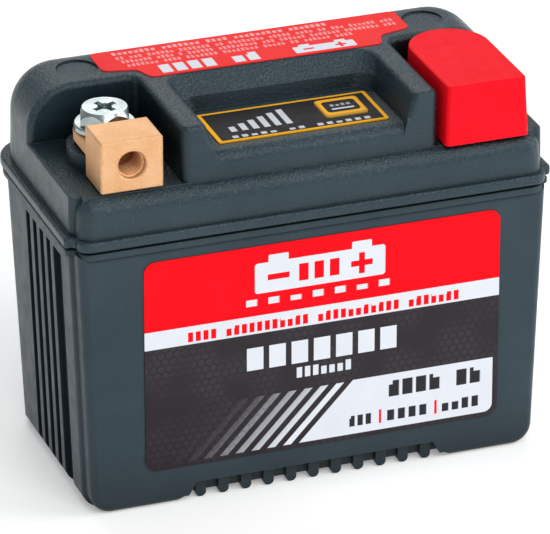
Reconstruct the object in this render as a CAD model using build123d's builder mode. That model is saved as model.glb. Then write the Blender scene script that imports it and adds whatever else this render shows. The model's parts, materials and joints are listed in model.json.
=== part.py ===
"""Small lithium motorcycle battery, in millimetres.

The origin is at the centre of the underside. +X runs along the front towards the positive terminal,
-Y is the labelled front and +Z is up.
"""
import os
from math import radians, tan

from build123d import *

os.makedirs("parts", exist_ok=True)

# ---- Driving dimensions -------------------------------------------------------------------------
length = 107.0            # over the sealing flanges, along X
width = 56.0              # over the sealing flanges, along Y
crown_top = 84.0          # highest plastic surface
cap_top = 85.0            # top of the red terminal cap, the highest point
seam = 60.4               # plane where the lid rests on the case
seam_gap = 0.45           # shadow gap between the two flanges

wall_inset = 1.4          # end walls stand inside the flange by this much at the seam
panel_face = 27.1         # front and back panels of the case, distance from the middle
end_half_width = 22.8     # the end walls end here at the front, beside the corner notches
front_corner = 1.3
foot_round = 4.2
back_foot_round = 3.0
flange_front = 24.1       # front of the flanges beside the corner notches
flange_notch = 2.1
flange_rear_corner = 9.5
flange_front_corner = 2.8
notch_round = 0.9
case_draft = 2.0          # degrees, on the end walls of the case
lid_draft = 1.4           # degrees, on the end walls of the lid

shoulder = 71.7           # floor of the terminal wells
gauge_floor = 77.3        # floor of the charge gauge recess
gauge_brow = 80.2         # where the gauge recess turns from steep wall to slope
well_side = 28.0          # wells lie outside this X
well_back = 5.2           # and in front of this Y
crown_front = -24.2       # front face of the middle of the lid
crown_back = 26.7         # back face of the lid
skin = 2.0                # usual thickness of the mouldings

terminal_x = 39.0         # terminals lie at plus and minus this X
bolt_y = -7.0             # axis of the terminal bolts
block_front = -24.6       # front face of the brass terminal blocks
block_back = -14.4
block_bottom = 72.0
block_top = 83.4
block_half = 6.7
tab_bottom = 76.7         # the flat tongue behind each block, clamped by the bolt
tab_top = 78.8
thread_r = 3.0            # M6 throughout
running = 0.05            # radial clearance of a turning M6 shank

case_floor = 4.4          # inside floor of the case
cell_size = (84.0, 9.0, 44.0)
cell_gap = 1.0
cell_bottom = 6.4


def end_wall_x(z):
    """Distance of the case's end walls from the middle at height z."""
    return length / 2 - wall_inset - (seam - z) * tan(radians(case_draft))


def lid_wall_x(z):
    """Distance of the lid's end walls from the middle at height z."""
    return length / 2 - wall_inset - (z - seam) * tan(radians(lid_draft))


def finish(piece, name):
    """Name a finished piece and write it out."""
    piece.part.label = name
    export_step(piece.part, f"parts/{name}.step")


def upright_slab(low_z, high_z, low_half, high_half, half_depth, low_round, face_round):
    """A slab from the middle to the front, tapered along X, with rounded lower corners and a soft front."""
    with BuildPart() as slab:
        with BuildSketch(Plane.XZ):
            with BuildLine():
                Polyline(
                    (-low_half, low_z),
                    (low_half, low_z),
                    (high_half, high_z),
                    (-high_half, high_z),
                    close=True,
                )
            make_face()
            low_corners = vertices().group_by(Axis.Y)[0]
            fillet(low_corners, low_round)
        extrude(amount=half_depth)
        fillet(slab.faces().sort_by(Axis.Y)[0].edges(), face_round)
    return slab.part


def moulded_body(levels):
    """A body with small front and large rear corners, lofted through (z, half X, back Y, rear corner)."""
    with BuildPart() as body:
        for z, half_x, back, rear_corner in levels:
            with BuildSketch(Plane.XY.offset(z)):
                with Locations((0, (back - end_half_width) / 2)):
                    Rectangle(2 * half_x, back + end_half_width)
                fillet(vertices().group_by(Axis.Y)[-1], rear_corner)
                fillet(vertices().group_by(Axis.Y)[0], front_corner)
        loft()
    return body


def plan_outline(inset, low_z, height, edge_round):
    """A flange plate: large rear corners, and a front panel proud of it between two corner notches."""
    half_x = length / 2 - inset
    half_y = width / 2 - inset
    notch_y = inset - flange_front
    with BuildPart() as plate:
        with BuildSketch(Plane.XY.offset(low_z)):
            with Locations((0, (half_y + notch_y) / 2)):
                Rectangle(2 * half_x, half_y - notch_y)
            with Locations((0, -half_y / 2)):
                Rectangle(2 * (half_x - flange_notch), half_y)
            fillet(vertices().group_by(Axis.Y)[-1], flange_rear_corner)
            fillet(vertices().group_by(Axis.Y)[0], flange_front_corner)
            fillet(vertices().filter_by_position(Axis.Y, notch_y - 0.01, notch_y + 0.01), notch_round)
        extrude(amount=height)
        fillet(plate.faces().sort_by(Axis.Z)[-1].edges(), edge_round)
        fillet(plate.faces().sort_by(Axis.Z)[0].edges(), edge_round)
    return plate.part


# ---- Case: a drafted tub with a sealing flange, ribbed ends and a ribbed underside ----------------
flange_height = 1.6
flange_inset = 0.4
tub_top = seam - 0.6
foot_inner = 31.2         # the feet start here, and the underside between them is raised
foot_slope = 1.9
channel_height = 1.2
case_back = (25.4, 27.1)  # back wall at the underside and at the seam
case_rear_corner = (9.8, 8.5)
band_top = 4.2            # top of the low band across the front between the feet
band_face = 24.9
rib_pitch = 5.04
rib_count = 11
rib_width = 2.3
rib_face = 25.9
rib_back = 24.4
cavity_corner = 5.5
flute_depth = 1.4         # upright flutes in the end walls, with ribs left between them
flute_top = 55.3
flute_spans = [(-16.4, -11.0), (-9.0, -6.4), (-4.4, -1.8), (0.2, 2.8), (4.8, 7.4)]

end_body = moulded_body((
    (0, end_wall_x(0), case_back[0], case_rear_corner[0]),
    (tub_top, end_wall_x(tub_top), case_back[1], case_rear_corner[1]),
))
panel_body = upright_slab(0, tub_top, end_wall_x(0) - 0.7, end_wall_x(tub_top) - 0.7, panel_face, 4.5, 1.8)
flange = plan_outline(flange_inset, seam - flange_height, flange_height, 0.5)

with BuildPart() as case:
    add(end_body.part)
    # Rounded lower edges, at both ends and along the back.
    with BuildSketch(Plane.XZ):
        with BuildLine():
            Polyline(
                (-end_wall_x(0), 0),
                (end_wall_x(0), 0),
                (length / 2, tub_top),
                (-length / 2, tub_top),
                close=True,
            )
        make_face()
        fillet(vertices().group_by(Axis.Y)[0], foot_round)
    extrude(amount=width, both=True, mode=Mode.INTERSECT)
    with BuildSketch(Plane.YZ):
        with BuildLine():
            Polyline(
                (-width, 0),
                (case_back[0], 0),
                (case_back[1] + 0.5, tub_top),
                (-width, tub_top),
                close=True,
            )
        make_face()
        fillet(vertices().group_by(Axis.Y)[0].sort_by(Axis.X)[-1], back_foot_round)
    extrude(amount=length, both=True, mode=Mode.INTERSECT)
    add(panel_body)
    add(flange)
    # Raised underside between the feet, open to the front and the back.
    with BuildSketch(Plane.XZ):
        with BuildLine():
            Polyline(
                (-foot_inner - 1, -1),
                (foot_inner + 1, -1),
                (foot_inner, 0),
                (foot_inner - foot_slope, channel_height),
                (foot_slope - foot_inner, channel_height),
                (-foot_inner, 0),
                close=True,
            )
        make_face()
    extrude(amount=width, both=True, mode=Mode.SUBTRACT)
    # Low band let into the front panel above that channel.
    with BuildSketch(Plane.XZ.offset(band_face)):
        with Locations((0, band_top / 2)):
            Trapezoid(2 * foot_inner - 4.6, band_top, 60)
    extrude(amount=4.0, mode=Mode.SUBTRACT)
    # Ribs with rounded undersides run from front to back, and up the band at the front.
    with BuildSketch(Plane.XZ.offset(-rib_back)):
        with Locations((0, 2.6)):
            with GridLocations(rib_pitch, 1, rib_count, 1):
                RectangleRounded(rib_width, 5.2, 1.1)
    extrude(amount=rib_back + rib_face)
    with BuildSketch(Plane.XZ.offset(band_face - 1)):
        with Locations((0, band_top / 2 + 1)):
            with GridLocations(rib_pitch, 1, rib_count, 1):
                Rectangle(rib_width, band_top)
    extrude(amount=rib_face - band_face + 1)
    # Upright flutes in both end walls, open at the bottom.
    for side in (-1, 1):
        for start, stop in flute_spans:
            with BuildSketch(Plane.XZ.offset(-(start + stop) / 2)):
                with BuildLine():
                    Polyline(
                        (side * (end_wall_x(-2) - flute_depth), -2),
                        (side * (end_wall_x(flute_top) - flute_depth), flute_top),
                        (side * length / 2, flute_top + 1.5),
                        (side * length / 2, -2),
                        close=True,
                    )
                make_face()
            extrude(amount=(stop - start) / 2, both=True, mode=Mode.SUBTRACT)
    # Inside of the tub.
    with BuildSketch(Plane.XY.offset(case_floor)):
        RectangleRounded(93.6, 46.0, cavity_corner)
    extrude(amount=seam - case_floor + 1, taper=-1.2, mode=Mode.SUBTRACT)
finish(case, "case")

# ---- Lid: a shoulder with two terminal wells, a domed crown and a recess for the charge gauge ----
crown_round = 9.8
partition_round = 1.9
well_corner = 2.6
gauge_roll = 2.6
scoop_flare = 1.6
rim_round = 0.6
crown_rim_round = 1.4
lid_flange_height = 2.35
boss_r = 8.0
boss_top = 75.6
insert_r = 5.5
insert_flange_r = 7.5
lid_panel_face = 26.9
skirt_depth = 2.8
skirt_half = (47.7, 23.9)
skirt_corner = 7.2
skirt_wall = 1.1
scoop_corner = 4.0
scoop = {"floor_half": 20.8, "floor_back": -1.9, "brow_half": 21.5, "brow_back": -1.3, "rim_half": 22.9,
         "rim_back": 2.5}
key_size = (9.6, 8.4)     # test key, seen from above
key_at = (11.1, -11.5)
key_clearance = 0.2
bar_count = 6
bar_width = 1.4
bar_pitch = 2.42
bar_first_x = -13.7
bar_foot_y = -15.6
bar_shortest = 2.5
bar_step = 1.0
gauge_board_top = 73.4
gauge_screws_at = [(x, y) for x in (-16.0, 16.0) for y in (-19.3, 3.5)]
gauge_screw_r = 0.8
thumb_spot_r = 4.35       # two shallow round dimples in the crown
thumb_spot_at = (38.6, 12.7)
thumb_spot_depth = 0.4


def edges_within(x_span, y_span, z_span):
    """The lid's edges whose middle lies in the given spans; X counts on both sides."""
    spans = []
    for span in (x_span, y_span, z_span):
        spans.append(span if isinstance(span, tuple) else (span - 0.2, span + 0.2))

    def inside(edge):
        middle = edge.center()
        place = (abs(middle.X), middle.Y, middle.Z)
        return all(low <= value <= high for value, (low, high) in zip(place, spans))

    return lid.edges().filter_by(inside)


def bar_places():
    """Centre and length of each bar of the charge gauge, from the lowest to the highest."""
    for index in range(bar_count):
        bar_length = bar_shortest + index * bar_step
        centre = (bar_first_x + index * bar_pitch, bar_foot_y + bar_length / 2)
        yield centre, bar_length


lid_flange = plan_outline(0, seam + seam_gap, lid_flange_height, 0.7)

with BuildPart() as lid_panel:
    for z, inset, corner in ((seam, 1.0, 3.0), (shoulder, 1.2, 4.5)):
        with BuildSketch(Plane.XY.offset(z)):
            with Locations((0, -lid_panel_face / 2)):
                Rectangle(2 * (lid_wall_x(z) - inset), lid_panel_face)
            fillet(vertices().group_by(Axis.Y)[0], corner)
    loft()
    panel_top = lid_panel.faces().sort_by(Axis.Z)[-1].edges()
    fillet(panel_top.filter_by_position(Axis.Y, -lid_panel_face - 1, -1), 3.8)

with BuildPart() as crown:
    with BuildSketch(Plane.XY.offset(seam)):
        with Locations((0, crown_back - 45)):
            RectangleRounded(2 * lid_wall_x(seam), 90, 10.8)
    extrude(amount=crown_top - seam, taper=lid_draft)
    top_rim = crown.faces().sort_by(Axis.Z)[-1].edges()
    fillet(top_rim, crown_round)
    with BuildSketch():
        with Locations((0, crown_front - 50)):
            Rectangle(2 * length, 100)
        for side in (-1, 1):
            with Locations((side * length / 2, -end_half_width - 10)):
                Rectangle(2 * (length / 2 - 49.5), 20)
    extrude(amount=2 * crown_top, mode=Mode.SUBTRACT)

with BuildPart() as lid:
    add(crown.part)
    # Terminal wells, open to the front, the end and the top.
    for side in (-1, 1):
        with BuildSketch(Plane.XY.offset(shoulder)):
            with Locations((side * (well_side + 30), well_back - 30)):
                RectangleRounded(60, 60, well_corner)
        extrude(amount=30, mode=Mode.SUBTRACT)
    fillet(edges_within((51.5, 52.5), -end_half_width, (seam + 2, shoulder)), front_corner)
    add(lid_panel.part)
    add(lid_flange)
    # Gauge recess: a steep wall below, a slope above, open to the front.
    for low_z, low, high_z, high in (
        (gauge_floor, ("floor_half", "floor_back"), gauge_brow, ("brow_half", "brow_back")),
        (gauge_brow, ("brow_half", "brow_back"), crown_top + 0.01, ("rim_half", "rim_back")),
    ):
        for z, (half, back) in ((low_z, low), (high_z, high)):
            with BuildSketch(Plane.XY.offset(z)):
                with Locations((0, scoop[back] - 30)):
                    RectangleRounded(2 * scoop[half], 60, scoop_corner)
        loft(mode=Mode.SUBTRACT)
    # Soft corners: the ends of the two partitions, the roll at the front of the gauge floor, all rims.
    fillet(edges_within(well_side, crown_front, (shoulder, crown_top)), partition_round)
    fillet(edges_within((0, 1), crown_front, gauge_floor), gauge_roll)
    scoop_ends = (scoop["floor_half"] - 1, scoop["rim_half"] + 1)
    fillet(edges_within(scoop_ends, crown_front, (gauge_floor + 0.5, 83.5)), scoop_flare)
    partition_ends = (crown_front - 0.2, crown_front + 0.9)
    top_edges = (
        edges_within((scoop["rim_half"] - 1, well_side + 0.2), partition_ends, crown_top)
        + edges_within(well_side, (crown_front + 1, well_back - 1), crown_top)
        + edges_within((well_side, length / 2), well_back, (79.0, crown_top))
        + edges_within((0, scoop["rim_half"] + 1), (crown_front + 1, scoop["rim_back"] + 0.2), crown_top)
    )
    fillet(ShapeList(set(top_edges)), crown_rim_round)
    fillet(edges_within((51.0, length / 2), (-end_half_width, well_back - 0.3), shoulder), rim_round)
    # Bosses for the threaded inserts.
    with BuildSketch(Plane.XY.offset(shoulder - 0.5)):
        with Locations((-terminal_x, bolt_y), (terminal_x, bolt_y)):
            Circle(boss_r)
        with Locations((0, block_back + 0.1 - length / 2)):
            Rectangle(length, length, mode=Mode.SUBTRACT)
    extrude(amount=boss_top - shoulder + 0.5)
    # Dimples in the crown.
    with BuildSketch(Plane.XY.offset(crown_top)):
        with Locations((-thumb_spot_at[0], thumb_spot_at[1]), thumb_spot_at):
            Circle(thumb_spot_r)
    extrude(amount=-thumb_spot_depth, mode=Mode.SUBTRACT)
    # Skirt that locates the lid inside the tub.
    with BuildSketch(Plane.XY.offset(seam - skirt_depth)):
        RectangleRounded(2 * skirt_half[0], 2 * skirt_half[1], skirt_corner)
    extrude(amount=skirt_depth + 1)
    # Hollow underside.
    with BuildSketch(Plane.XY.offset(seam - skirt_depth)):
        inner_half = (skirt_half[0] - skirt_wall, skirt_half[1] - skirt_wall)
        RectangleRounded(2 * inner_half[0], 2 * inner_half[1], skirt_corner - skirt_wall)
    extrude(amount=skirt_depth + skin, mode=Mode.SUBTRACT)
    with BuildSketch(Plane.XY.offset(seam + skin)):
        RectangleRounded(97.0, 48.6, 3.0)
    extrude(amount=shoulder - seam - 2 * skin, mode=Mode.SUBTRACT)
    with BuildSketch(Plane.XY.offset(shoulder - skin - 1)):
        with Locations((0, 14.6)):
            RectangleRounded(93.0, 15.0, 2.0)
    extrude(amount=7.5, mode=Mode.SUBTRACT)
    with BuildSketch(Plane.XY.offset(shoulder)):
        with Locations((0, 12.0)):
            RectangleRounded(76.0, 9.6, 2.0)
    extrude(amount=crown_top - skin - 0.6 - shoulder, mode=Mode.SUBTRACT)
    with BuildSketch(Plane.XY.offset(shoulder - skin - 1)):
        with Locations((0, -6.5)):
            RectangleRounded(2 * 18.8, 31.0, 1.5)
    extrude(amount=gauge_floor - 1.8 - shoulder + skin + 1, mode=Mode.SUBTRACT)
    # Posts that carry the gauge board.
    with BuildSketch(Plane.XY.offset(gauge_board_top)):
        with Locations(*gauge_screws_at):
            Circle(2.2)
            Circle(gauge_screw_r + running, mode=Mode.SUBTRACT)
    extrude(amount=gauge_floor - skin - gauge_board_top + 0.3)
    # Window for the test key and slots for the gauge's light bars.
    with BuildSketch(Plane.XY.offset(gauge_floor - 5)):
        with Locations(key_at):
            RectangleRounded(key_size[0] + 2 * key_clearance, key_size[1] + 2 * key_clearance, 1.2)
        for centre, bar_length in bar_places():
            with Locations(centre):
                Rectangle(bar_width, bar_length)
    extrude(amount=6, mode=Mode.SUBTRACT)
    # Seats moulded around the threaded inserts.
    with BuildSketch(Plane.XY.offset(shoulder - skin - 1)):
        with Locations((-terminal_x, bolt_y), (terminal_x, bolt_y)):
            Circle(insert_r)
    extrude(amount=20, mode=Mode.SUBTRACT)
finish(lid, "lid")

# ---- Labels, gauge overlay and test key -----------------------------------------------------------
label_size = (78.6, 48.1)
label_centre = (1.6, 32.45)
label_thickness = 0.2
overlay_size = (37.3, 14.6)
overlay_centre = (0, -12.5)
overlay_thickness = 0.3
key_stands = 0.7          # height of the test key above the gauge floor
key_flange = 0.8          # hidden edge that keeps the key under the lid

with BuildPart() as front_label:
    with BuildSketch(Plane.XZ.offset(panel_face)):
        with Locations(label_centre):
            RectangleRounded(*label_size, 2.5)
    extrude(amount=label_thickness)
finish(front_label, "front_label")

with BuildPart() as top_label:
    with BuildSketch(Plane.XY.offset(crown_top)):
        with BuildLine():
            Polyline(
                (-34.2, 18.3), (34.2, 18.3), (34.2, 8.9), (27.2, 7.2), (25.6, 2.7),
                (-25.6, 2.7), (-27.2, 7.2), (-34.2, 8.9), close=True,
            )
        make_face()
        fillet(vertices(), 1.6)
    extrude(amount=label_thickness)
finish(top_label, "top_label")

with BuildPart() as gauge_overlay:
    with BuildSketch(Plane.XY.offset(gauge_floor)):
        with Locations(overlay_centre):
            RectangleRounded(*overlay_size, 0.4)
        with Locations(key_at):
            RectangleRounded(
                key_size[0] + 2 * key_clearance, key_size[1] + 2 * key_clearance, 1.2, mode=Mode.SUBTRACT
            )
        for centre, bar_length in bar_places():
            with Locations(centre):
                Rectangle(bar_width, bar_length, mode=Mode.SUBTRACT)
    extrude(amount=overlay_thickness)
finish(gauge_overlay, "gauge_overlay")

with BuildPart() as gauge_lenses:
    with BuildSketch(Plane.XY.offset(gauge_floor - skin + 0.2)):
        for centre, bar_length in bar_places():
            with Locations(centre):
                Rectangle(bar_width - 0.04, bar_length - 0.04)
    extrude(amount=skin - 0.2 + overlay_thickness)
finish(gauge_lenses, "gauge_lenses")

with BuildPart() as test_button:
    with BuildSketch(Plane.XY.offset(gauge_floor - skin)):
        with Locations(key_at):
            RectangleRounded(*key_size, 1.0)
    extrude(amount=skin + key_stands)
    fillet(test_button.faces().sort_by(Axis.Z)[-1].edges(), 0.3)
    with BuildSketch(Plane.XY.offset(gauge_floor - skin - 0.6)):
        with Locations(key_at):
            RectangleRounded(key_size[0] + 2 * key_flange, key_size[1] + 2 * key_flange, 1.2)
    extrude(amount=0.6)
finish(test_button, "test_button")

# ---- Terminals: brass block, threaded insert, washer and bolt on each side ------------------------
thread_depth = 8.6
mouth_chamfer = 0.3
bolt_hole_r = 3.3
washer_r = 6.5
washer_height = 1.5
head_across_flats = 10.0
head_height = 3.25
head_top_r = 4.7
head_lift = 0.05
shank_bottom = 69.9
recess_depth = 1.7

for side, sign in (("negative", -1), ("positive", 1)):
    at_x = sign * terminal_x

    with BuildPart() as block:
        with BuildSketch(Plane.XY.offset(block_bottom)):
            with Locations((at_x, (block_front + block_back) / 2)):
                Rectangle(2 * block_half, block_back - block_front)
        extrude(amount=block_top - block_bottom)
        chamfer(block.edges(), 0.3)
        with BuildSketch(Plane.XY.offset(tab_bottom)):
            with Locations((at_x, (block_back - 1 + bolt_y) / 2)):
                Rectangle(2 * block_half - 0.3, bolt_y - block_back + 1)
            with Locations((at_x, bolt_y)):
                Circle(block_half - 0.15)
                Circle(bolt_hole_r, mode=Mode.SUBTRACT)
        extrude(amount=tab_top - tab_bottom)
        with Locations(Plane.XZ.offset(-block_front) * Location((at_x, (block_bottom + block_top) / 2))):
            Hole(thread_r, depth=thread_depth)
        mouth = block.edges().filter_by(GeomType.CIRCLE).group_by(Axis.Y)[0]
        chamfer(mouth, mouth_chamfer)
    finish(block, f"{side}_terminal_block")

    with BuildPart() as insert:
        with BuildSketch(Plane.XY.offset(shoulder - skin)):
            with Locations((at_x, bolt_y)):
                Circle(insert_r)
        extrude(amount=tab_bottom - shoulder + skin)
        with BuildSketch(Plane.XY.offset(shoulder - skin)):
            with Locations((at_x, bolt_y)):
                RegularPolygon(insert_flange_r, 6)
        extrude(amount=-1.5)
        with BuildSketch(Plane.XY.offset(shank_bottom - 0.7)):
            with Locations((at_x, bolt_y)):
                Circle(thread_r + running)
        extrude(amount=20, mode=Mode.SUBTRACT)
    finish(insert, f"{side}_insert")

    with BuildPart() as washer:
        with BuildSketch(Plane.XY.offset(tab_top)):
            with Locations((at_x, bolt_y)):
                Circle(washer_r)
                Circle(bolt_hole_r, mode=Mode.SUBTRACT)
        extrude(amount=washer_height)
        outer_edges = washer.edges().filter_by(GeomType.CIRCLE).group_by(SortBy.RADIUS)[-1]
        chamfer(outer_edges, 0.3)
    finish(washer, f"{side}_washer")

    head_bottom = tab_top + washer_height + head_lift
    with BuildPart() as bolt:
        with BuildSketch(Plane.XY.offset(head_bottom)):
            with Locations((at_x, bolt_y)):
                RegularPolygon(head_across_flats / 2, 6, major_radius=False, rotation=12)
        extrude(amount=head_height)
        # The head's crown is turned: a cone trims the six corners.
        with BuildSketch(Plane.XY.offset(head_bottom + head_height)):
            with Locations((at_x, bolt_y)):
                Circle(head_top_r)
        extrude(amount=-head_height, taper=-30, mode=Mode.INTERSECT)
        with BuildSketch(Plane.XY.offset(head_bottom + head_height)):
            with Locations((at_x, bolt_y)):
                Rectangle(5.6, 1.35, rotation=25)
                Rectangle(5.6, 1.35, rotation=115)
                Circle(1.5)
        extrude(amount=-recess_depth, taper=8, mode=Mode.SUBTRACT)
        with BuildSketch(Plane.XY.offset(shank_bottom)):
            with Locations((at_x, bolt_y)):
                Circle(thread_r)
        extrude(amount=head_bottom - shank_bottom + 0.5)
        chamfer(bolt.faces().sort_by(Axis.Z)[0].edges(), 0.6)
    finish(bolt, f"{side}_terminal_bolt")

# ---- Red cap over the positive terminal -----------------------------------------------------------
cap_x = 38.2
cap_front = -26.2
cap_arc_y = -4.4
cap_half = 9.3
cap_bottom = 72.0
cap_wall = 0.9
cap_draft = 2.6
cap_rear_bottom = 76.0    # the rear of the cap ends above the insert boss
cap_step_y = -15.7


def cap_plan(inset):
    """Plan of the cap at its lower edge: straight sides, a round back."""
    front = cap_front + inset
    with Locations((cap_x, (front + cap_arc_y) / 2)):
        Rectangle(2 * (cap_half - inset), cap_arc_y - front)
    with Locations((cap_x, cap_arc_y)):
        Circle(cap_half - inset)


with BuildPart() as positive_cap:
    with BuildSketch(Plane.XY.offset(cap_bottom)):
        cap_plan(0)
    extrude(amount=cap_top - cap_bottom, taper=cap_draft)
    cap_uprights = positive_cap.edges().filter_by_position(Axis.Z, 77, 80).sort_by(Axis.Y)[:2]
    fillet(cap_uprights, 1.1)
    fillet(positive_cap.faces().sort_by(Axis.Z)[-1].edges(), 0.45)
    with BuildSketch(Plane.XY.offset(cap_bottom)):
        cap_plan(cap_wall)
    extrude(amount=cap_top - cap_wall - cap_bottom, taper=cap_draft, mode=Mode.SUBTRACT)
    with BuildSketch(Plane.XY.offset(cap_bottom - 1)):
        with Locations((cap_x, cap_step_y + 20)):
            Rectangle(30, 40)
    extrude(amount=cap_rear_bottom - cap_bottom + 1, mode=Mode.SUBTRACT)
finish(positive_cap, "positive_cap")

# ---- Cells, their tabs, links and packing ---------------------------------------------------------
cell_count = 4
cell_pitch = cell_size[1] + cell_gap
cell_top = cell_bottom + cell_size[2]
tab_x = 25.0              # cell tabs stand at plus and minus this X
tab_width = 16.0
tab_foil = 0.4
tab_fold = 4.4
fold_z = cell_top + 3.0
link_foil = 0.6
board_bottom = 57.0
board_thickness = 1.6
cell_rows = [(index - (cell_count - 1) / 2) * cell_pitch for index in range(cell_count)]


def place_box(low, high):
    """A plain block between two opposite corners, added to the open part."""
    middle = tuple((a + b) / 2 for a, b in zip(low, high))
    size = [b - a for a, b in zip(low, high)]
    with Locations(middle):
        Box(*size)


for index, row_y in enumerate(cell_rows, start=1):
    with BuildPart() as cell:
        place_box(
            (-cell_size[0] / 2, row_y - cell_size[1] / 2, cell_bottom),
            (cell_size[0] / 2, row_y + cell_size[1] / 2, cell_top),
        )
        fillet(cell.edges().filter_by(Axis.Z), 2.8)
        fillet(cell.faces().filter_by(Axis.Z).edges(), 1.2)
    finish(cell, f"cell_{index}")

for index in range(1, cell_count):
    gap_y = (cell_rows[index - 1] + cell_rows[index]) / 2
    with BuildPart() as spacer:
        place_box((-40, gap_y - 0.4, cell_bottom + 1), (40, gap_y + 0.4, cell_top - 2))
    finish(spacer, f"cell_spacer_{index}")

# The cells stand alternately, so each tab faces the opposite one of its neighbour.
tab_folds = {-1: (1, 1, -1, -1), 1: (1, -1, 1, -1)}


def cell_tabs(first_side):
    """All tabs of one polarity: the first cell's stands on first_side, the next on the other."""
    with BuildPart() as tabs:
        for place, row_y in enumerate(cell_rows):
            side = first_side if place % 2 == 0 else -first_side
            tip = row_y + tab_folds[side][place] * tab_fold
            low_y, high_y = sorted((row_y - tab_folds[side][place] * tab_foil / 2, tip))
            near_x = side * tab_x - tab_width / 2
            far_x = near_x + tab_width
            place_box((near_x, row_y - tab_foil / 2, cell_top), (far_x, row_y + tab_foil / 2, fold_z))
            place_box((near_x, low_y, fold_z - tab_foil), (far_x, high_y, fold_z))
    return tabs


negative_tabs = cell_tabs(-1)
finish(negative_tabs, "negative_cell_tabs")
positive_tabs = cell_tabs(1)
finish(positive_tabs, "positive_cell_tabs")

for index, side in ((1, 1), (2, -1), (3, 1)):
    with BuildPart() as link:
        place_box(
            (side * tab_x - tab_width / 2, cell_rows[index - 1] - 0.2, fold_z),
            (side * tab_x + tab_width / 2, cell_rows[index] + 0.2, fold_z + link_foil),
        )
    finish(link, f"series_link_{index}")

pad_low = cell_bottom + 0.4
pad_high = cell_top - 2
stack_half = cell_rows[-1] + cell_size[1] / 2
with BuildPart() as base_pad:
    place_box((-44.5, -21, case_floor), (44.5, 21, cell_bottom))
    fillet(base_pad.edges().filter_by(Axis.Z), 4)
finish(base_pad, "base_pad")
for name, low_y, high_y in (("front_pad", -22.9, -stack_half), ("rear_pad", stack_half, 22.9)):
    with BuildPart() as pad:
        place_box((-40, low_y, pad_low), (40, high_y, pad_high))
    finish(pad, name)
with BuildPart() as end_pads:
    for side in (-1, 1):
        near, far = sorted((side * cell_size[0] / 2, side * 46.4))
        place_box((near, -18, pad_low), (far, 18, pad_high))
finish(end_pads, "end_pads")

# ---- Bus bars from the outer cells to the inserts -------------------------------------------------
bar_foil = 1.0
bus_top = shoulder - skin - 1.5
bus_x = 45.4
bar_back = 20.0
crossing_z = 62.0         # the positive bar crosses over the boards' rear edge at this height
end_row = cell_rows[-1]

with BuildPart() as negative_busbar:
    place_box((-bus_x, -end_row, fold_z), (tab_width / 2 - tab_x, -end_row + 6, fold_z + bar_foil))
    place_box((-bus_x, -end_row, fold_z), (-bus_x + bar_foil, -1.0, bus_top))
    place_box((-bus_x, -13.0, bus_top - bar_foil), (-33.0, -1.0, bus_top))
finish(negative_busbar, "negative_busbar")

bar_low_x = -tab_x - tab_width / 2
bar_high_x = tab_width / 2 - tab_x
with BuildPart() as positive_busbar:
    place_box((bar_low_x, end_row - 5.5, fold_z), (bar_high_x, bar_back, fold_z + bar_foil))
    place_box((bar_low_x, bar_back - bar_foil, fold_z), (bar_high_x, bar_back, crossing_z))
    place_box((bar_low_x, 14.0, crossing_z - bar_foil), (bus_x, bar_back, crossing_z))
    place_box((bus_x - bar_foil, 14.0, crossing_z - bar_foil), (bus_x, bar_back, bus_top))
    place_box((33.0, -13.0, bus_top - bar_foil), (bus_x, bar_back, bus_top))
finish(positive_busbar, "positive_busbar")

# ---- Balancing board on the cells, gauge board under the lid --------------------------------------
pin_r = 0.32
pin_hole_r = 0.42
pin_pitch = 2.54
pin_row = [(pin_pitch * (place - 1.5), 9.0) for place in range(4)]
tap_r = 0.5
tap_hole_r = 0.6
tap_places = [(tab_x, -10), (-tab_x, 0), (tab_x, 10), (-tab_x, -11.5), (-tab_x, 11.5)]
gauge_board_z = (gauge_board_top - 1.6, gauge_board_top)
led_height = 1.1
switch_body = 5.2

with BuildPart() as balance_board:
    with BuildSketch(Plane.XY.offset(board_bottom)):
        RectangleRounded(76, 37.6, 1.5)
        with Locations(*pin_row):
            Circle(pin_hole_r, mode=Mode.SUBTRACT)
        with Locations(*tap_places):
            Circle(tap_hole_r, mode=Mode.SUBTRACT)
    extrude(amount=board_thickness)
finish(balance_board, "balance_board")

with BuildPart() as balance_taps:
    for place, (x, y) in enumerate(tap_places):
        foot_z = fold_z + (link_foil if place < cell_count - 1 else bar_foil)
        with BuildSketch(Plane.XY.offset(foot_z)):
            with Locations((x, y)):
                Circle(tap_r)
        extrude(amount=board_bottom + board_thickness + 0.4 - foot_z)
finish(balance_taps, "balance_taps")

with BuildPart() as balance_chips:
    with Locations(Plane.XY.offset(board_bottom + board_thickness)):
        with GridLocations(14, 1, 4, 1):
            Box(5.0, 4.0, 1.4, align=(Align.CENTER, Align.CENTER, Align.MIN))
finish(balance_chips, "balance_chips")

with BuildPart() as balance_resistors:
    with Locations(Plane.XY.offset(board_bottom + board_thickness) * Location((0, -11.0))):
        with GridLocations(7, 4.4, 7, 2):
            Box(3.2, 1.6, 0.6, align=(Align.CENTER, Align.CENTER, Align.MIN))
finish(balance_resistors, "balance_resistors")

with BuildPart() as header_housing:
    place_box(
        (-2 * pin_pitch, pin_row[0][1] - 1.25, board_bottom + board_thickness),
        (2 * pin_pitch, pin_row[0][1] + 1.25, board_bottom + board_thickness + 2.5),
    )
    with BuildSketch(Plane.XY.offset(board_bottom)):
        with Locations(*pin_row):
            Circle(pin_hole_r)
    extrude(amount=10, mode=Mode.SUBTRACT)
finish(header_housing, "header_housing")

with BuildPart() as header_pins:
    with BuildSketch(Plane.XY.offset(board_bottom - 1)):
        with Locations(*pin_row):
            Circle(pin_r)
    extrude(amount=gauge_board_top + 0.6 - board_bottom + 1)
finish(header_pins, "header_pins")

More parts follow.
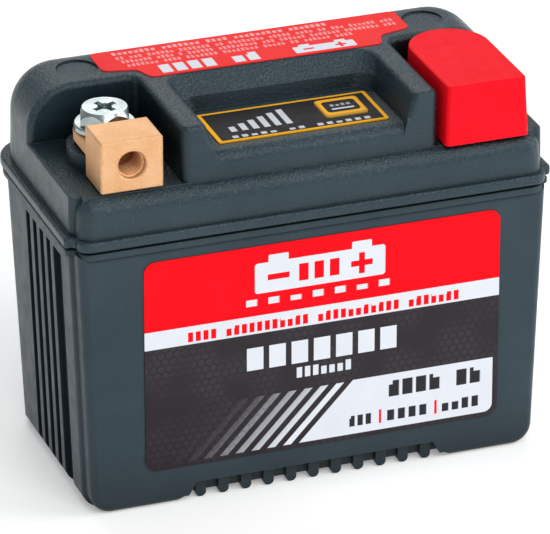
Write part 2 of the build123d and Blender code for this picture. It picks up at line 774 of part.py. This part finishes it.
with BuildPart() as gauge_board:
    with BuildSketch(Plane.XY.offset(gauge_board_z[0])):
        with Locations((0, -5.2)):
            RectangleRounded(36.8, 31.6, 1.0)
        with Locations(*pin_row):
            Circle(pin_hole_r, mode=Mode.SUBTRACT)
        with Locations(*gauge_screws_at):
            Circle(gauge_screw_r + 0.1, mode=Mode.SUBTRACT)
    extrude(amount=1.6)
finish(gauge_board, "gauge_board")

with BuildPart() as gauge_screws:
    with BuildSketch(Plane.XY.offset(gauge_board_z[0] - 1.1)):
        with Locations(*gauge_screws_at):
            Circle(1.6)
    extrude(amount=1.1)
    with BuildSketch(Plane.XY.offset(gauge_board_z[0])):
        with Locations(*gauge_screws_at):
            Circle(gauge_screw_r)
    extrude(amount=3.4)
finish(gauge_screws, "gauge_screws")

with BuildPart() as gauge_leds:
    for centre, bar_length in bar_places():
        with Locations((*centre, gauge_board_top + led_height / 2)):
            Box(1.0, 1.8, led_height)
finish(gauge_leds, "gauge_leds")

with BuildPart() as test_switch:
    with Locations((*key_at, gauge_board_top + 0.3)):
        Box(switch_body, switch_body, 0.6)
    with Locations((*key_at, gauge_board_top + 0.72)):
        Cylinder(1.7, 0.25)
finish(test_switch, "test_switch")
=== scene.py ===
"""Looks of a small lithium motorcycle battery: materials, printed films, threads, studio and camera."""

import json
from functools import reduce
from math import cos, pi, radians, sin, sqrt

import bmesh
import bpy
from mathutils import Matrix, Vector


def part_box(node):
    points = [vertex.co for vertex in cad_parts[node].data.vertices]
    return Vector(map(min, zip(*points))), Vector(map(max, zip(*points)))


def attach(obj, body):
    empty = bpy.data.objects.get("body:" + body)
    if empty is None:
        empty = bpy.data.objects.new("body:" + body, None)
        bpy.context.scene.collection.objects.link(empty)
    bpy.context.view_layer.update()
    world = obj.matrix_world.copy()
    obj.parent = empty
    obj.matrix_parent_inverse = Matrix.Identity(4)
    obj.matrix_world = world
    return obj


MM = 0.001

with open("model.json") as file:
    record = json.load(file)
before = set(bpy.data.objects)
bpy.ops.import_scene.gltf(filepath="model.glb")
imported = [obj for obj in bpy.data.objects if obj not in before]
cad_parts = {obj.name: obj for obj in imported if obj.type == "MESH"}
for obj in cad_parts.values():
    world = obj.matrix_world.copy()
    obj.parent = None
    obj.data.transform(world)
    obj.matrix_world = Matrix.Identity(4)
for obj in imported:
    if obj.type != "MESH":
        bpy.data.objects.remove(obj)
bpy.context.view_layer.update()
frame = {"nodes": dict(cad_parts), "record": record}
scene = bpy.context.scene

# ---- Camera ----------------------------------------------------------------------------------------
azimuth = radians(-20.0)
elevation = radians(25.6)
camera_distance = 1129.7 * MM
aim = Vector((0.0, 0.0, 40.0)) * MM
frame_shift_right = 0.7 * MM
frame_shift_down = 2.3 * MM

camera_data = bpy.data.cameras.new("camera")
camera_data.lens = 348.9
camera_data.sensor_width = 36.0
camera_data.sensor_fit = "HORIZONTAL"
camera_data.clip_start = 0.05
camera_data.clip_end = 20.0
camera = bpy.data.objects.new("camera", camera_data)
scene.collection.objects.link(camera)
camera.rotation_euler = (pi / 2 - elevation, 0, azimuth)
camera_turn = camera.rotation_euler.to_matrix()
camera.location = aim + camera_turn @ Vector((frame_shift_right, -frame_shift_down, camera_distance))
scene.camera = camera
scene.view_settings.view_transform = "Standard"


# ---- Node trees that can be calculated with --------------------------------------------------------
SHADER_SAMPLES = 6  # rays of each bevel and openness node

# The colour sockets of a Mix node share their names with its other sockets, so they go by number.
MIX_COLOUR_A = 6
MIX_COLOUR_B = 7
MIX_COLOUR_RESULT = 2


class Wire:
    """A socket of a material's node tree. Sums, products and masks of wires add nodes to the tree."""

    def __init__(self, tree, socket):
        self.tree = tree
        self.socket = socket

    def maths(self, operation, *others):
        step = self.tree.nodes.new("ShaderNodeMath")
        step.operation = operation
        for entry, value in zip(step.inputs, (self, *others)):
            feed(self.tree, entry, value)
        return Wire(self.tree, step.outputs[0])

    def __add__(self, other):
        return self.maths("ADD", other)

    def __sub__(self, other):
        return self.maths("SUBTRACT", other)

    def __mul__(self, other):
        return self.maths("MULTIPLY", other)

    def __truediv__(self, other):
        return self.maths("DIVIDE", other)

    def __neg__(self):
        return self.maths("MULTIPLY", -1.0)

    def __abs__(self):
        return self.maths("ABSOLUTE")

    def least(self, other):
        return self.maths("MINIMUM", other)

    def most(self, other):
        return self.maths("MAXIMUM", other)

    def fraction(self):
        return self.maths("FRACT")

    def opposite(self):
        """One minus the value."""
        return -self + 1.0

    def ramp(self, low, high, low_value=0.0, high_value=1.0):
        """The value mapped from low..high to low_value..high_value, and held beyond both ends."""
        step = self.tree.nodes.new("ShaderNodeMapRange")
        step.clamp = True
        for entry, value in zip(step.inputs, (self, low, high, low_value, high_value)):
            feed(self.tree, entry, value)
        return Wire(self.tree, step.outputs[0])

    def below(self, limit, soft=0.03):
        """A mask that is 1 where the value is under the limit, with a narrow soft edge."""
        return self.ramp(limit - soft, limit + soft, 1.0, 0.0)


def feed(tree, entry, value):
    """Links a wire to an input, or sets the input's own value."""
    if isinstance(value, Wire):
        tree.links.new(value.socket, entry)
    else:
        entry.default_value = value


class Paint:
    """A material with a principled shader, whose patterns are made in millimetres on the object."""

    def __init__(self, name):
        self.material = bpy.data.materials.new(name)
        self.material.use_nodes = True
        self.tree = self.material.node_tree
        self.shader = self.tree.nodes["Principled BSDF"]
        place = self.node("TexCoord")
        scale = self.node("VectorMath")
        scale.operation = "SCALE"
        scale.inputs["Scale"].default_value = 1 / MM
        self.tree.links.new(place.outputs["Object"], scale.inputs[0])
        self.point = Wire(self.tree, scale.outputs[0])
        split = self.node("SeparateXYZ", Vector=self.point)
        self.x, self.y, self.z = (Wire(self.tree, output) for output in split.outputs)

    def set(self, **values):
        """Sets or links the shader's inputs; underscores stand for spaces."""
        for name, value in values.items():
            feed(self.tree, self.shader.inputs[name.replace("_", " ")], value)
        return self

    def node(self, kind, **inputs):
        """A new node of the tree, with the given inputs set or linked."""
        made = self.tree.nodes.new("ShaderNode" + kind)
        for name, value in inputs.items():
            feed(self.tree, made.inputs[name], value)
        return made

    def noise(self, per_mm, detail=2.0, roughness=0.5):
        """Noise from 0 to 1 with the given number of features in a millimetre."""
        made = self.node("TexNoise", Vector=self.point, Scale=per_mm, Detail=detail, Roughness=roughness)
        return Wire(self.tree, made.outputs["Fac"])

    def chance(self, value):
        """A random number from 0 to 1 that stays the same over each whole number of the value."""
        made = self.node("TexWhiteNoise")
        made.noise_dimensions = "1D"
        feed(self.tree, made.inputs["W"], value.maths("FLOOR"))
        return Wire(self.tree, made.outputs["Value"])

    def mix(self, mask, low, high):
        """The first colour where the mask is 0 and the second where it is 1."""
        made = self.node("Mix")
        made.data_type = "RGBA"
        feed(self.tree, made.inputs["Factor"], mask)
        feed(self.tree, made.inputs[MIX_COLOUR_A], low)
        feed(self.tree, made.inputs[MIX_COLOUR_B], high)
        return Wire(self.tree, made.outputs[MIX_COLOUR_RESULT])

    def true_normal(self):
        """The surface's own direction."""
        return Wire(self.tree, self.node("NewGeometry").outputs["Normal"])

    def soft_normal(self, radius_mm):
        """The surface's direction, with its edges rounded to that radius."""
        made = self.node("Bevel", Radius=radius_mm * MM)
        made.samples = SHADER_SAMPLES
        return Wire(self.tree, made.outputs["Normal"])

    def edge_wear_and_highlight(self, radius_mm):
        """1 on edges that stand out or turn sharply, 0 on flat ground."""
        agreement = self.node("VectorMath")
        agreement.operation = "DOT_PRODUCT"
        feed(self.tree, agreement.inputs[0], self.soft_normal(radius_mm))
        feed(self.tree, agreement.inputs[1], self.true_normal())
        on_edge, on_flat = 0.72, 0.99
        return Wire(self.tree, agreement.outputs["Value"]).ramp(on_edge, on_flat, 1.0, 0.0)

    def facing_up(self):
        """The upward part of the surface's direction: 1 on level ground, 0 on walls."""
        parts = self.node("SeparateXYZ", Vector=self.true_normal())
        return Wire(self.tree, parts.outputs["Z"])

    def openness(self, reach_mm):
        """1 in the open, less in corners and recesses."""
        made = self.node("AmbientOcclusion", Distance=reach_mm * MM)
        made.samples = SHADER_SAMPLES
        return Wire(self.tree, made.outputs["AO"])

    def bump(self, height, depth_mm, edge_radius_mm=0.0):
        """Gives the shader a relief of that depth, over softened edges where asked."""
        made = self.node("Bump", Distance=depth_mm * MM, Height=height)
        if edge_radius_mm > 0:
            feed(self.tree, made.inputs["Normal"], self.soft_normal(edge_radius_mm))
        self.tree.links.new(made.outputs["Normal"], self.shader.inputs["Normal"])
        return self

    def rectangle(self, across, up, left, right, low, high, corner=0.0):
        """A mask that is 1 inside a rectangle, with round corners where asked."""
        side = abs(across - (left + right) / 2) - ((right - left) / 2 - corner)
        rise = abs(up - (low + high) / 2) - ((high - low) / 2 - corner)
        if corner == 0.0:
            return side.most(rise).below(0.0)
        outside = (side.most(0.0).maths("POWER", 2.0) + rise.most(0.0).maths("POWER", 2.0)).maths("SQRT")
        return outside.below(corner)

    def rectangles(self, across, up, *areas):
        """A mask that is 1 inside any of the areas, each given as its sides and perhaps its corner radius."""
        return reduce(Wire.most, (self.rectangle(across, up, *area) for area in areas))

    def filler_text(self, across, up, left, right, low, high, words, seed, fill=0.68):
        """A mask of small upright blocks that stand in for a line of lettering.

        The words are given by their numbers of blocks, and stand one block apart. The seed picks which blocks
        are the shorter ones. The fill is a block's share of its pitch.
        """
        shorter_share, shorter_height = 0.35, 0.76
        seed_step = 17.0
        side_soft = 0.04
        pitch = (right - left) / (sum(words) + len(words) - 1)
        place = (across - left) / pitch
        luck = self.chance(place + seed * seed_step)
        size = luck.ramp(shorter_share - 0.01, shorter_share + 0.01, shorter_height, 1.0)
        blocks = place.fraction().below(fill, side_soft) * place.fraction().ramp(0.0, side_soft)
        areas = []
        word_left = left
        for count in words:
            areas.append((word_left, word_left + count * pitch, 0.0, high - low))
            word_left += (count + 1) * pitch
        return self.rectangles(across, (up - low) / size, *areas) * blocks


def colour(red, green, blue):
    """An opaque colour."""
    return (red, green, blue, 1.0)


white_ink = colour(0.76, 0.79, 0.85)
red_ink = colour(0.97, 0.003, 0.010)
yellow_ink = colour(0.98, 0.46, 0.004)
panel_ink = colour(0.030, 0.030, 0.036)


# ---- Plastics --------------------------------------------------------------------------------------
def grained_plastic(name, base, light, grain_depth, wall_grain, roughness):
    """Moulded plastic: grain that is strongest on level ground, cloudy tone, edges lighter from rubbing and a
    painted highlight, and painted shade in recesses.

    The grain depth is in millimetres, and wall_grain is the share of the grain that walls have.
    """
    grain_per_mm = 1.9
    recess_reach_mm = 16.0
    grain_tone, cloud_tone, edge_tone, recess_shade_strength = 0.4, 0.12, 0.35, 0.92
    paint = Paint(name)
    level = paint.facing_up().ramp(0.1, 0.75, wall_grain, 1.0)
    grain = paint.noise(grain_per_mm, detail=2.0, roughness=0.55)
    cloud = paint.noise(0.06, detail=4.0)
    # Edges lighter: partly rubbed wear, partly a painted highlight.
    rubbed_and_highlit_edges = paint.edge_wear_and_highlight(0.35) * paint.noise(0.5, detail=3.0).ramp(0.35, 0.6, 0.35, 1.0)
    speckle = grain.ramp(0.5, 0.75) * level * grain_tone + cloud.ramp(0.3, 0.7) * cloud_tone
    tone = paint.mix(speckle, base, light)
    tone = paint.mix(rubbed_and_highlit_edges * edge_tone, tone, light)
    # Painted shade: corners and recesses darkened towards near-black.
    shade = paint.openness(recess_reach_mm).ramp(0.25, 0.95, recess_shade_strength, 0.0)
    tone = paint.mix(shade, tone, colour(0.0005, 0.004, 0.0065))
    rough = paint.noise(0.3, detail=3.0).ramp(0.3, 0.7, roughness - 0.05, roughness + 0.07)
    paint.set(Base_Color=tone, Roughness=rough - rubbed_and_highlit_edges * 0.08, Specular_IOR_Level=0.3)
    return paint.bump(grain * level, grain_depth, edge_radius_mm=0.22)


plastic_dark = colour(0.017, 0.036, 0.048)
plastic_light = colour(0.105, 0.145, 0.168)


def cap_material():
    """Soft red plastic, a little lighter along its edges from rubbing and a painted highlight."""
    paint = Paint("cap_plastic")
    grain = paint.noise(2.6, detail=2.0)
    # Edges lighter red: partly rubbed wear, partly a painted highlight.
    rubbed_and_highlit_edges = paint.edge_wear_and_highlight(0.3)
    cloud = paint.noise(0.08, detail=3.0)
    tone = paint.mix(cloud.ramp(0.3, 0.7), colour(0.93, 0.004, 0.014), colour(0.97, 0.007, 0.018))
    tone = paint.mix(rubbed_and_highlit_edges * 0.5, tone, colour(1.0, 0.05, 0.05))
    rough = paint.noise(0.4, detail=3.0).ramp(0.3, 0.7, 0.42, 0.55)
    paint.set(Base_Color=tone, Roughness=rough, Specular_IOR_Level=0.06)
    light_reach = (1.2 * MM, 0.25 * MM, 0.2 * MM)
    paint.set(Subsurface_Weight=0.06, Subsurface_Radius=light_reach, Subsurface_Scale=1.0)
    return paint.bump(grain, 0.012, edge_radius_mm=0.15)


# ---- Printed films ---------------------------------------------------------------------------------
def film(name, tone_of, roughness):
    """A printed film: its picture, a faint orange-peel relief and patchy gloss."""
    paint = Paint(name)
    tone = tone_of(paint)
    cloud = paint.noise(0.12, detail=4.0)
    tone = paint.mix(cloud.ramp(0.3, 0.7) * 0.05, tone, colour(0.02, 0.02, 0.022))
    rough = paint.noise(0.5, detail=4.0).ramp(0.3, 0.7, roughness - 0.05, roughness + 0.06)
    paint.set(Base_Color=tone, Roughness=rough, Specular_IOR_Level=0.06)
    return paint.bump(paint.noise(0.8, detail=3.0), 0.006)


def honeycomb(across, up, pitch):
    """Distance from the nearest cell edge of a honeycomb, 0 on the edge and 0.5 in the middle."""
    row_height = sqrt(3.0)
    cells_away = 200.0  # keeps the fractions of negative places positive
    nearest = None
    for offset in (0.0, 0.5):
        u = (across / pitch + cells_away + offset).fraction() - 0.5
        v = ((up / (pitch * row_height) + cells_away + offset).fraction() - 0.5) * row_height
        edge = abs(u).most(abs(u) * 0.5 + abs(v) * (row_height / 2))
        nearest = edge if nearest is None else nearest.least(edge)
    return -nearest + 0.5


def front_picture(paint):
    """A red field and a white band over a charcoal ground with stripes and a white panel."""
    x, z = paint.x, paint.z
    left_end, right_end = -50.0, 50.0  # past both sides of the label
    label_low = 8.4
    foot = 9.45  # lower edge of the stripes and of the panel
    panel_right, panel_top = 39.75, 22.15
    band_low, red_low, red_high = 36.6, 40.7, 70.0
    # Charcoal ground with a faint honeycomb, darker towards the lower left.
    comb = honeycomb(x, z, 1.75)
    shade = (z - label_low + (x + 38.0) * 0.35).ramp(0.0, 26.0)
    ground = paint.mix(shade, colour(0.026, 0.020, 0.025), colour(0.034, 0.029, 0.034))
    patch = paint.noise(0.11, detail=1.0).ramp(0.38, 0.62)
    cell = comb.ramp(0.05, 0.16) * patch * (shade * 0.5 + 0.2)
    tone = paint.mix(cell, ground, colour(0.054, 0.048, 0.056))
    # Slanted stripes that brighten to the right, then the white information panel.
    slant = x - (z - foot) * 0.95
    stripe_row = paint.rectangle(x, z, -38.0, 15.0, foot, 21.95)
    stripes = ((slant + 102.7) / 3.53).fraction().below(0.5, 0.012) * slant.below(-5.2) * stripe_row
    fade = slant.ramp(-37.5, -8.0).maths("POWER", 2.4)
    comb_shows = comb.ramp(0.03, 0.09, 0.65, 1.0).most(slant.ramp(-30.0, -16.0))
    stripe_tone = paint.mix(fade, colour(0.05, 0.045, 0.052), white_ink)
    tone = paint.mix(stripes * comb_shows * fade.ramp(0.0, 0.25), tone, stripe_tone)
    panel = paint.rectangles(
        x,
        z,
        (-10.0, panel_right, foot, panel_top, 1.9),
        (-10.0, 30.0, foot, 14.0),
        (15.0, panel_right, 18.0, panel_top),
    )
    tone = paint.mix(panel * (-slant).below(3.86), tone, white_ink)
    # Panel print: a heavy line over three short entries with red rules between them.
    heavy = paint.filler_text(x, z, 16.2, 37.6, 16.8, 20.5, (4, 2), 3.1, fill=0.78)
    tone = paint.mix(heavy, tone, panel_ink)
    for left, right, count in ((7.4, 12.9, 3), (15.9, 25.6, 4), (28.3, 37.3, 4)):
        entry = paint.filler_text(x, z, left, right, 11.2, 13.7, (count,), left)
        tone = paint.mix(entry, tone, panel_ink)
    for rule in (14.35, 26.9):
        tone = paint.mix(paint.rectangle(x, z, rule - 0.26, rule + 0.26, 10.95, 14.15), tone, red_ink)
    # Seven heavy blocks and a small line on the charcoal ground.
    blocks_left = -15.4
    blocks = ((x - blocks_left) / 4.94).fraction().below(0.74, 0.012)
    blocks = blocks * paint.rectangle(x, z, blocks_left, 18.9, 28.2, 33.4)
    tone = paint.mix(blocks, tone, white_ink)
    tone = paint.mix(paint.filler_text(x, z, -4.4, 8.3, 24.8, 27.2, (7,), 6.3), tone, white_ink)
    # White band with a red line, under the red field.
    tone = paint.mix(paint.rectangle(x, z, left_end, right_end, band_low, 50.0), tone, white_ink)
    tone = paint.mix(paint.filler_text(x, z, -28.3, 32.3, 37.1, 39.3, (4, 11, 11, 7), 9.7), tone, red_ink)
    tone = paint.mix(paint.rectangle(x, z, left_end, right_end, red_low, red_high), tone, red_ink)
    # Battery pictogram: body and poles, with a minus, three bars and a plus cut out, and a small line below.
    pole_low, pole_high = 52.0, 54.2
    body = paint.rectangles(
        x,
        z,
        (-13.6, 15.2, 45.7, 52.6, 0.7),
        (-10.6, -6.2, pole_low, pole_high, 0.35),
        (7.8, 12.2, pole_low, pole_high, 0.35),
    )
    signs = paint.rectangles(
        x, z, (-10.8, -6.0, 48.45, 49.75), (7.6, 12.4, 48.45, 49.75), (9.35, 10.65, 46.7, 51.5)
    )
    bars_left = -3.9
    bars = ((x - bars_left) / 3.4).fraction().below(0.62, 0.012)
    bars = bars * paint.rectangle(x, z, bars_left, 5.6, 47.2, 51.1)
    tone = paint.mix(body * signs.most(bars).opposite(), tone, white_ink)
    return paint.mix(paint.filler_text(x, z, -15.6, 18.6, 43.0, 44.5, (7,), 12.6, fill=0.5), tone, white_ink)


def top_picture(paint):
    """A red field with a heading, three small lines, two short words and a battery pictogram."""
    x, y = paint.x, paint.y
    tone = paint.mix(paint.noise(0.1), colour(0.93, 0.022, 0.024), colour(0.96, 0.034, 0.032))
    pale_ink = colour(0.92, 0.50, 0.50)
    heading = paint.filler_text(x, y, -29.7, 18.4, 15.7, 17.2, (8, 7, 4, 9, 7), 2.2)
    tone = paint.mix(heading * 0.8, tone, pale_ink)
    line_height = 1.45
    small_lines = (
        (13.3, -29.6, 32.5, (2, 3, 6, 7, 2, 8, 5, 4, 2, 3, 6, 3)),
        (11.2, -29.0, 32.5, (7, 4, 1, 6, 9, 3, 6, 7, 8, 3)),
        (9.1, -28.4, 21.9, (7, 4, 7, 8, 5, 2, 6, 4)),
    )
    for low, left, right, words in small_lines:
        line = paint.filler_text(x, y, left, right, low, low + line_height, words, low)
        tone = paint.mix(line * 0.6, tone, pale_ink)
    foot = 3.7  # lower edge of the short words and of the pictogram
    short_words = paint.filler_text(x, y, -22.6, -0.2, foot, 7.8, (4, 2), 15.4, fill=0.76)
    tone = paint.mix(short_words, tone, white_ink)
    body = paint.rectangles(x, y, (7.0, 20.6, foot, 6.9, 0.35), (8.6, 11.0, 6.7, 7.8), (16.6, 19.0, 6.7, 7.8))
    signs = paint.rectangles(
        x, y, (9.0, 11.4, 4.95, 5.65), (16.2, 18.6, 4.95, 5.65), (17.05, 17.75, 4.1, 6.5)
    )
    return paint.mix(body * signs.opposite(), tone, white_ink)


def gauge_picture(paint):
    """A dark window in a yellow border, with a line of filler below the light bars."""
    x, y = paint.x, paint.y
    dark = paint.mix(paint.noise(0.2), colour(0.014, 0.012, 0.014), colour(0.026, 0.023, 0.025))
    inside = paint.rectangle(x, y, -17.75, 17.85, -19.25, -5.85)
    tone = paint.mix(inside, yellow_ink, dark)
    words = paint.filler_text(x, y, -15.1, 15.9, -18.7, -17.5, (5, 2, 6), 21.0, fill=0.62)
    return paint.mix(words, tone, colour(0.62, 0.62, 0.66))


def key_picture(paint):
    """A yellow ring round a dark key top with a short line and a bar."""
    x, y = paint.x, paint.y
    inner = paint.rectangle(x, y, 7.45, 14.75, -14.25, -8.75, corner=0.9)
    tone = paint.mix(inner, yellow_ink, colour(0.018, 0.015, 0.018))
    tone = paint.mix(paint.rectangle(x, y, 8.7, 13.6, -13.0, -12.4), tone, white_ink)
    ring = paint.rectangle(x, y, 6.75, 15.45, -15.25, -7.75, corner=0.9)
    tone = paint.mix(ring, colour(0.62, 0.34, 0.06), tone)
    mark = paint.filler_text(x, y, 8.9, 13.7, -11.4, -10.3, (4,), 1.3)
    return paint.mix(mark * 0.8, tone, colour(0.5, 0.5, 0.54))


# ---- Metals ----------------------------------------------------------------------------------------
def terminal_material():
    """Cast brass, sanded dull: speckled, with brown pits and browned edges."""
    paint = Paint("terminal_brass")
    sand = paint.noise(2.0, detail=5.0, roughness=0.75)
    cloud = paint.noise(0.16, detail=3.0)
    tone = paint.mix(cloud.ramp(0.32, 0.68), colour(0.80, 0.44, 0.21), colour(0.87, 0.52, 0.28))
    pits = paint.noise(2.6, detail=2.0, roughness=0.6).ramp(0.56, 0.68)
    tone = paint.mix(pits * 0.45, tone, colour(0.50, 0.20, 0.06))
    browned = paint.edge_wear_and_highlight(0.5) * paint.noise(0.9, detail=3.0).ramp(0.42, 0.60)
    tone = paint.mix(browned * 0.65, tone, colour(0.40, 0.19, 0.08))
    shade = paint.openness(5.0).ramp(0.1, 0.6, 0.4, 0.0)
    tone = paint.mix(shade, tone, colour(0.45, 0.19, 0.07))
    paint.set(Base_Color=tone, Metallic=0.6, Roughness=sand.ramp(0.3, 0.7, 0.42, 0.62))
    return paint.bump(sand - pits * 0.2, 0.05, edge_radius_mm=0.3)


def plain_metal(name, low, high, roughness, grain=1.4, depth=0.008):
    """Bare metal between two tones, with a painted highlight along its edges and a fine relief."""
    paint = Paint(name)
    relief = paint.noise(grain, detail=4.0, roughness=0.6)
    cloud = paint.noise(0.25, detail=3.0)
    tone = paint.mix(cloud.ramp(0.3, 0.7), low, high)
    # Painted highlight: edges lightened towards the high tone.
    tone = paint.mix(paint.edge_wear_and_highlight(0.2) * 0.5, tone, high)
    rough = relief.ramp(0.3, 0.7, roughness - 0.06, roughness + 0.1)
    paint.set(Base_Color=tone, Metallic=1.0, Roughness=rough)
    return paint.bump(relief, depth, edge_radius_mm=0.15)


# ---- Plain solids and the circuit board ------------------------------------------------------------
def plain_solid(name, low, high, roughness, grain, depth):
    """A dull solid between two tones, with a relief of that grain and depth."""
    paint = Paint(name)
    texture = paint.noise(grain, detail=4.0, roughness=0.6)
    tone = paint.mix(texture.ramp(0.35, 0.65), low, high)
    paint.set(Base_Color=tone, Roughness=texture.ramp(0.3, 0.7, roughness - 0.08, roughness + 0.08))
    return paint.bump(texture, depth)


def board_picture(paint):
    """Green solder resist over slanted copper tracks."""
    tracks = ((paint.x + paint.y * 0.5) / 1.7).fraction().below(0.3, 0.04)
    tracks = tracks * paint.noise(0.3).ramp(0.5, 0.52)
    return paint.mix(tracks, colour(0.008, 0.10, 0.035), colour(0.02, 0.20, 0.07))


# ---- Which slot looks how --------------------------------------------------------------------------
paints = {
    "case_plastic": grained_plastic(
        "case_plastic", plastic_dark, plastic_light, grain_depth=0.05, wall_grain=0.15, roughness=0.42
    ),
    "lid_plastic": grained_plastic(
        "lid_plastic", plastic_dark, plastic_light, grain_depth=0.3, wall_grain=0.35, roughness=0.30
    ),
    "cap_plastic": cap_material(),
    "front_label": film("front_label", front_picture, 0.42),
    "top_label": film("top_label", top_picture, 0.45),
    "gauge_overlay": film("gauge_overlay", gauge_picture, 0.45),
    "button_film": film("button_film", key_picture, 0.42),
    "gauge_lens": plain_solid(
        "gauge_lens", colour(0.50, 0.54, 0.58), colour(0.60, 0.64, 0.68), 0.4, grain=0.6, depth=0.004
    ),
    "terminal_brass": terminal_material(),
    "insert_brass": plain_metal("insert_brass", colour(0.62, 0.43, 0.20), colour(0.78, 0.58, 0.30), 0.3),
    "zinc_steel": plain_metal(
        "zinc_steel", colour(0.30, 0.36, 0.36), colour(0.56, 0.60, 0.58), 0.22, depth=0.03
    ),
    "foam": plain_solid("foam", colour(0.012, 0.012, 0.013), colour(0.05, 0.05, 0.052), 0.9, 1.2, 0.15),
    "copper_foil": plain_metal("copper_foil", colour(0.70, 0.40, 0.27), colour(0.82, 0.52, 0.38), 0.3),
    "aluminium_foil": plain_metal("aluminium_foil", colour(0.70, 0.71, 0.72), colour(0.85, 0.86, 0.87), 0.3),
    "bus_copper": plain_metal("bus_copper", colour(0.66, 0.33, 0.20), colour(0.80, 0.47, 0.32), 0.32),
    "circuit_board": film("circuit_board", board_picture, 0.35),
    "chip_package": plain_solid(
        "chip_package", colour(0.01, 0.01, 0.011), colour(0.03, 0.03, 0.032), 0.5, grain=1.5, depth=0.01
    ),
    "pin_plating": plain_metal("pin_plating", colour(0.75, 0.58, 0.24), colour(0.88, 0.72, 0.38), 0.22),
    "led_lens": plain_solid("led_lens", colour(0.66, 0.70, 0.62), colour(0.80, 0.83, 0.76), 0.2, 0.8, 0.002),
    "cell_pouch": plain_metal(
        "cell_pouch", colour(0.55, 0.56, 0.58), colour(0.72, 0.73, 0.74), 0.32, grain=0.35, depth=0.08
    ),
}

slot_of = {entry["node"]: entry["material_slot"] for entry in frame["record"]["subparts"]}
for node, obj in frame["nodes"].items():
    obj.data.materials.clear()
    obj.data.materials.append(paints[slot_of[node]].material)


# ---- Threads in the front holes of the terminal blocks ---------------------------------------------
def new_piece(name, work):
    """An object of the scene with the mesh that was worked on."""
    mesh = bpy.data.meshes.new(name)
    work.to_mesh(mesh)
    work.free()
    piece = bpy.data.objects.new(name, mesh)
    scene.collection.objects.link(piece)
    return piece


def thread_piece(name, centre, radius, depth, pitch, height):
    """A helical ridge on the wall of a blind hole that opens towards -Y. The ridge fades at both ends."""
    steps_per_turn = 40
    fade_steps = 16
    foot_share, crest_share = 0.46, 0.08  # half widths of the ridge, as shares of the pitch
    profile = ((0.0, -foot_share), (height, -crest_share), (height, crest_share), (0.0, foot_share))
    turns = depth / pitch
    steps = int(turns * steps_per_turn)
    work = bmesh.new()
    rings = []
    for step in range(steps + 1):
        angle = step / steps * turns * 2 * pi
        along = step / steps * depth
        ends = min(1.0, step / fade_steps, (steps - step) / fade_steps)
        ring = []
        for inward, shift in profile:
            reach = radius - inward * ends
            corner = (
                centre[0] + reach * cos(angle),
                centre[1] + along + shift * pitch,
                centre[2] + reach * sin(angle),
            )
            ring.append(work.verts.new(corner))
        rings.append(ring)
    for first, second in zip(rings, rings[1:]):
        for index in range(len(profile)):
            following = (index + 1) % len(profile)
            work.faces.new((first[index], first[following], second[following], second[index]))
    work.faces.new(rings[0])
    work.faces.new(reversed(rings[-1]))
    bmesh.ops.recalc_face_normals(work, faces=work.faces)
    return new_piece(name, work)


hole_radius = 3.0 * MM
thread_start = 0.75 * MM  # behind the block's front face
thread_depth = 7.0 * MM
thread_pitch = 1.0 * MM
ridge_height = 0.42 * MM
for side in ("negative", "positive"):
    low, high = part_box(f"{side}_terminal_block")
    start = ((low[0] + high[0]) / 2, low[1] + thread_start, (low[2] + high[2]) / 2)
    thread = thread_piece(
        f"{side}_front_thread", start, hole_radius, thread_depth, thread_pitch, ridge_height
    )
    thread.data.materials.append(paints["terminal_brass"].material)
    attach(thread, "battery")


# ---- Studio ----------------------------------------------------------------------------------------
def floor_material():
    """Near-white paper that glows a little, so that it stays as pale as the photo's background."""
    paint = Paint("studio_floor")
    tone = paint.mix(paint.noise(0.01, detail=2.0), colour(0.90, 0.90, 0.90), colour(0.93, 0.93, 0.93))
    paint.set(Emission_Color=colour(1.0, 1.0, 1.0), Emission_Strength=0.27)
    return paint.set(Base_Color=tone, Roughness=0.9, Specular_IOR_Level=0.1).material


floor_half_side = 3.0
floor_gap = 0.05 * MM  # keeps the floor clear of the battery's feet
floor_work = bmesh.new()
bmesh.ops.create_grid(floor_work, x_segments=2, y_segments=2, size=floor_half_side)
floor = new_piece("studio_floor", floor_work)
floor.location.z = -floor_gap
floor.data.materials.append(floor_material())

world = bpy.data.worlds.new("studio")
scene.world = world
world.use_nodes = True
sky = world.node_tree.nodes["Background"]
sky.inputs["Color"].default_value = colour(0.93, 0.97, 1.0)
sky.inputs["Strength"].default_value = 0.38


def soft_light(name, place, size, power, tint):
    """A square area light that faces the object."""
    data = bpy.data.lights.new(name, "AREA")
    data.shape = "SQUARE"
    data.size = size
    data.energy = power
    data.color = tint
    lamp = bpy.data.objects.new(name, data)
    scene.collection.objects.link(lamp)
    lamp.location = place
    lamp.rotation_euler = (aim - Vector(place)).to_track_quat("-Z", "Y").to_euler()


soft_light("key_light", (0.05, -0.85, 0.85), 0.8, 6.2, (1.0, 0.99, 0.97))
soft_light("right_light", (0.95, -0.35, 0.55), 0.7, 6.0, (0.97, 0.99, 1.0))
soft_light("back_light", (0.1, 0.95, 0.9), 0.9, 5.0, (1.0, 1.0, 1.0))
